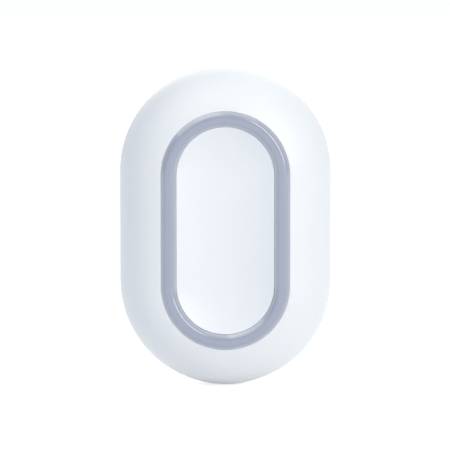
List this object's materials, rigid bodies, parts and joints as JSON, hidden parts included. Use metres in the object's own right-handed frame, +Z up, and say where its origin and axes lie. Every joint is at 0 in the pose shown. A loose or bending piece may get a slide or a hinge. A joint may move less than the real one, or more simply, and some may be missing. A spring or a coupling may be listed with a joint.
{
  "type": "panic button",
  "caption": "Domed alarm button with round ends: a long dished push button inside a translucent light ring, with a coin-slot battery door in its flat back.",
  "frame": {"origin": "the middle of the flat back, in the plane of the back", "axes": "+Z up along the long side as it is worn or fixed, +X to the right seen from the front, +Y out of the back, so the button faces -Y"},
  "size_m": [0.04, 0.0148, 0.0606],
  "materials": {
    "case_white": "fine satin texture",
    "button_white": "fine satin texture",
    "ring_grey": "translucent, satin gloss",
    "seal_rubber": "moulded silicone",
    "board_green": "solder mask",
    "chip_black": "moulded epoxy",
    "can_tin": "tinned sheet",
    "holder_black": "moulded",
    "contact_steel": "spring steel, plated",
    "cell_steel": "drawn stainless can",
    "screw_steel": "zinc plated",
    "led_white": "clear cap over a white body"
  },
  "bodies": {
    "case": {"antenna_strip": "can_tin", "battery_holder": "holder_black", "case_screws": "screw_steel", "case_seal": "seal_rubber", "circuit_board": "board_green", "coin_cell": "cell_steel", "crystal": "can_tin", "front_shell": "case_white", "light_ring": "ring_grey", "lower_left_led": "led_white", "lower_right_led": "led_white", "lower_switch_base": "holder_black", "lower_switch_dome": "contact_steel", "lower_switch_plate": "can_tin", "main_chip": "chip_black", "negative_contact": "contact_steel", "positive_contact": "contact_steel", "radio_can": "can_tin", "rear_cover": "case_white", "upper_left_led": "led_white", "upper_right_led": "led_white", "upper_switch_base": "holder_black", "upper_switch_dome": "contact_steel", "upper_switch_plate": "can_tin"},
    "button": {"button_cap": "button_white", "button_gasket": "seal_rubber"},
    "door": {"battery_door": "case_white", "door_seal": "seal_rubber"},
    "upper_plunger": {"upper_switch_plunger": "holder_black"},
    "lower_plunger": {"lower_switch_plunger": "holder_black"}
  },
  "joints": [
    {"name": "button_press", "type": "slide", "parent": "case", "child": "button", "axis": [0, 1, 0], "range_m": [0, 0.0005], "stiffness_N_per_m": 5000, "springref_m": -0.0003, "deforming": ["upper_switch_dome", "lower_switch_dome"]},
    {"name": "upper_plunger_slide", "type": "slide", "parent": "case", "child": "upper_plunger", "axis": [0, 1, 0], "range_m": [0, 0.0005], "deforming": ["upper_switch_dome"]},
    {"name": "lower_plunger_slide", "type": "slide", "parent": "case", "child": "lower_plunger", "axis": [0, 1, 0], "range_m": [0, 0.0005], "deforming": ["lower_switch_dome"]},
    {"name": "door_turn", "type": "hinge", "parent": "case", "child": "door", "pos_m": [0, 0, 0], "axis": [0, 1, 0], "range_deg": [0, 40]}
  ],
  "couplings": [
    {"joint": "upper_plunger_slide", "follows": "button_press", "ratio": 1},
    {"joint": "lower_plunger_slide", "follows": "button_press", "ratio": 1}
  ]
}
